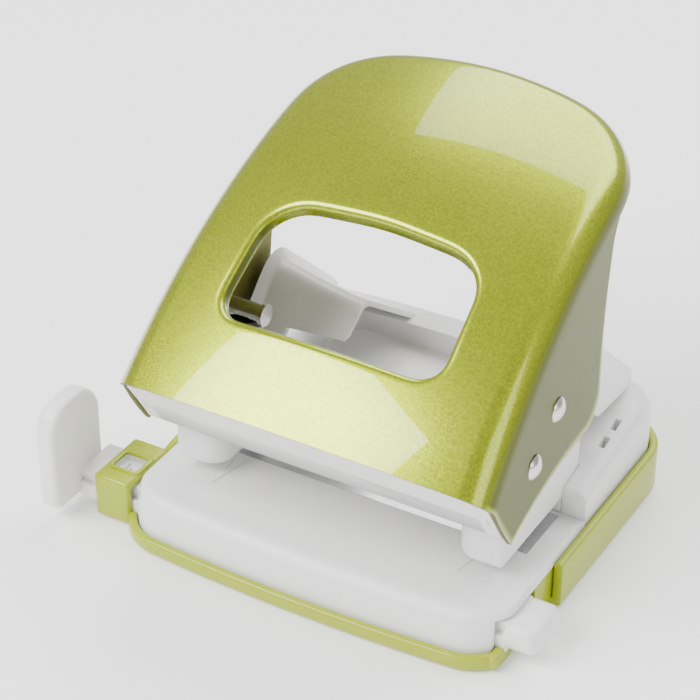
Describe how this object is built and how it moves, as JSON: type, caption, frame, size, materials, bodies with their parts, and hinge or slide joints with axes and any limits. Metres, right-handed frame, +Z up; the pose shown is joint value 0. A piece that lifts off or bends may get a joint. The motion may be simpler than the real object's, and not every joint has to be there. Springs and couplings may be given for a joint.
{
  "type": "hole punch",
  "caption": "Two-hole desk punch with a curved pressed handle, a pull-out paper guide and a hinged chip tray.",
  "frame": {"origin": "midway between the two punch axes, on the plane the feet rest on", "axes": "+X across the punch to the user's right, +Y from the front edge to the back, +Z up"},
  "size_m": [0.145, 0.1125, 0.1129],
  "materials": {
    "lime_lacquer": "metallic lacquer, high gloss",
    "lime_plastic": "moulded, satin gloss",
    "white_plastic": "moulded, satin gloss",
    "guide_plastic": "moulded, soft gloss",
    "bright_steel": "ground",
    "pin_steel": "nickel plated",
    "tool_steel": "turned",
    "dark_steel": "blackened",
    "spring_steel": "drawn wire",
    "screw_steel": "zinc plated",
    "washer_plastic": "matt",
    "foot_rubber": "matt",
    "clear_window": "clear",
    "label_paper": "printed strip without words"
  },
  "bodies": {
    "base": {"chip_tray": "lime_plastic", "table_cover": "white_plastic", "rear_cover": "white_plastic", "cowl_left": "white_plastic", "cowl_right": "white_plastic", "die_plate": "bright_steel", "door_hinge_pins": "bright_steel", "punch_frame_left": "white_plastic", "punch_frame_right": "white_plastic", "pivot_pin_left": "pin_steel", "pivot_pin_right": "pin_steel", "pivot_washers": "washer_plastic", "frame_screws": "screw_steel", "base_screws": "screw_steel", "rubber_feet": "foot_rubber", "detent_spring": "spring_steel", "format_window": "clear_window", "return_spring_left": "spring_steel", "return_spring_right": "spring_steel"},
    "tray_door": {"chip_door": "lime_plastic"},
    "handle": {"handle_shell": "lime_lacquer", "handle_liner": "white_plastic", "drive_pin_left": "pin_steel", "drive_pin_right": "pin_steel"},
    "punch_l": {"punch_left": "tool_steel", "punch_cap_left": "dark_steel"},
    "punch_r": {"punch_right": "tool_steel", "punch_cap_right": "dark_steel"},
    "guide": {"guide_bar": "guide_plastic", "guide_flag": "guide_plastic", "format_label": "label_paper"}
  },
  "joints": [
    {"name": "handle_press", "type": "hinge", "parent": "base", "child": "handle", "pos_m": [0, -0.0153, 0.0488], "axis": [-1, 0, 0], "range_deg": [0, 21], "stiffness_Nm_per_rad": 0.75, "springref_deg": -17.19},
    {"name": "punch_stroke_left", "type": "slide", "parent": "base", "child": "punch_l", "axis": [0, 0, -1], "range_m": [0, 0.0058], "deforming": ["return_spring_left"]},
    {"name": "punch_stroke_right", "type": "slide", "parent": "base", "child": "punch_r", "axis": [0, 0, -1], "range_m": [0, 0.0058], "deforming": ["return_spring_right"]},
    {"name": "guide_slide", "type": "slide", "parent": "base", "child": "guide", "axis": [-1, 0, 0], "range_m": [-0.0055, 0.091]},
    {"name": "tray_door_swing", "type": "hinge", "parent": "base", "child": "tray_door", "pos_m": [0, 0.0527, 0.0025], "axis": [1, 0, 0], "range_deg": [0, 85]}
  ],
  "couplings": [
    {"joint": "punch_stroke_left", "follows": "handle_press", "m_per_rad": 0.0155},
    {"joint": "punch_stroke_right", "follows": "handle_press", "m_per_rad": 0.0155}
  ]
}
